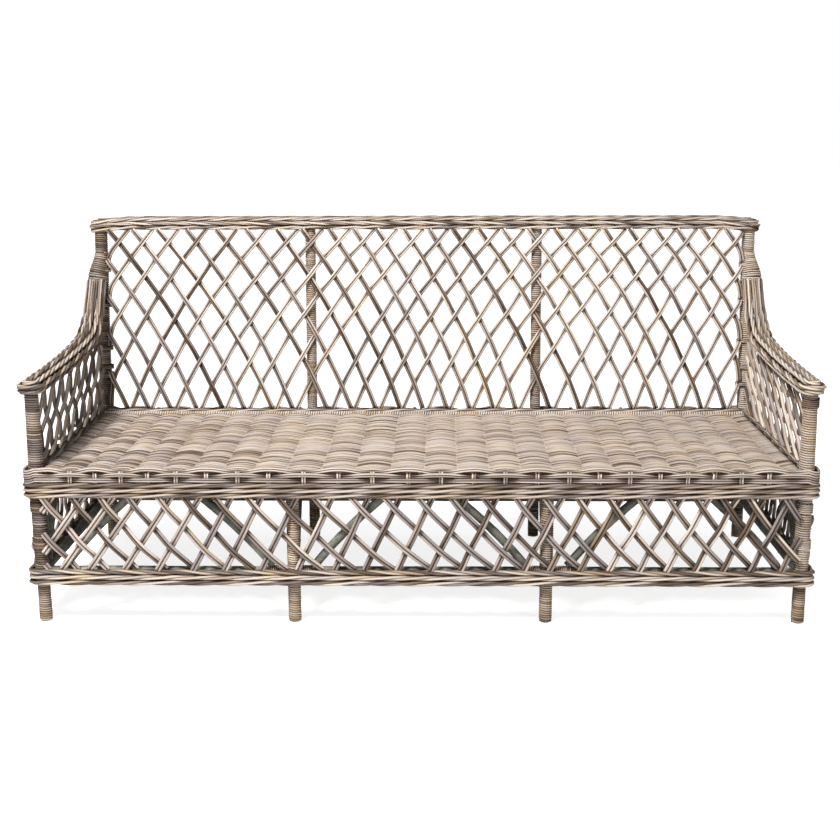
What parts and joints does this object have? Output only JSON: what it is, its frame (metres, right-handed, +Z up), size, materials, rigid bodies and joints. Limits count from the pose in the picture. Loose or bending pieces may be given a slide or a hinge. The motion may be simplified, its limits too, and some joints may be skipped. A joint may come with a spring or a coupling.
{
  "type": "rattan garden sofa",
  "caption": "Rattan sofa with round pole frame, open diamond lattice back, arms and skirt, woven seat, woven borders and braided arms and crest.",
  "frame": {"origin": "on the floor, under the middle of the sofa's overall box", "axes": "+X to the right as seen from the front, along the sofa; +Y to the back; +Z up"},
  "size_m": [1.9116, 0.802, 0.933],
  "materials": {
    "peel": "matt natural rattan peel",
    "dark_pole": "matt weathered rattan pole",
    "cane": "satin weathered rattan cane",
    "weave": "matt grey-brown woven rattan core"
  },
  "bodies": {
    "root": {"front_left_post": "dark_pole", "front_right_post": "dark_pole", "back_left_post": "dark_pole", "back_right_post": "dark_pole", "front_mid_left_leg": "dark_pole", "front_mid_right_leg": "dark_pole", "back_mid_left_post": "peel", "back_mid_right_post": "peel", "front_left_post_wrap": "peel", "front_right_post_wrap": "peel", "back_left_post_wrap": "peel", "back_right_post_wrap": "peel", "front_mid_left_leg_wrap": "peel", "front_mid_right_leg_wrap": "peel", "seat_front_rail": "dark_pole", "seat_back_rail": "peel", "seat_left_rail": "dark_pole", "seat_right_rail": "dark_pole", "bottom_front_rail_left": "dark_pole", "bottom_front_rail_middle": "dark_pole", "bottom_front_rail_right": "dark_pole", "bottom_back_rail": "dark_pole", "bottom_left_rail": "dark_pole", "bottom_right_rail": "dark_pole", "top_rail": "dark_pole", "seat_bearer_left": "dark_pole", "seat_bearer_middle": "dark_pole", "seat_bearer_right": "dark_pole", "brace_left_corner": "dark_pole", "brace_mid_left_outer": "dark_pole", "brace_mid_left_inner": "dark_pole", "brace_mid_right_inner": "dark_pole", "brace_mid_right_outer": "dark_pole", "brace_right_corner": "dark_pole", "brace_left_side": "dark_pole", "brace_mid_left_depth": "dark_pole", "brace_right_side": "dark_pole", "brace_mid_right_depth": "dark_pole", "back_lattice": "cane", "front_skirt_lattice": "cane", "back_skirt_lattice": "cane", "left_skirt_lattice": "cane", "right_skirt_lattice": "cane", "left_arm_lattice": "cane", "right_arm_lattice": "cane", "left_arm_rail": "dark_pole", "right_arm_rail": "dark_pole", "left_arm_braid": "weave", "right_arm_braid": "weave", "seat_border_front": "weave", "seat_border_back": "weave", "seat_border_left": "weave", "seat_border_right": "weave", "foot_border_front": "weave", "foot_border_back": "weave", "foot_border_left": "weave", "foot_border_right": "weave", "seat_weave": "weave", "seat_stakes": "cane", "crest_braid": "weave"}
  },
  "joints": []
}
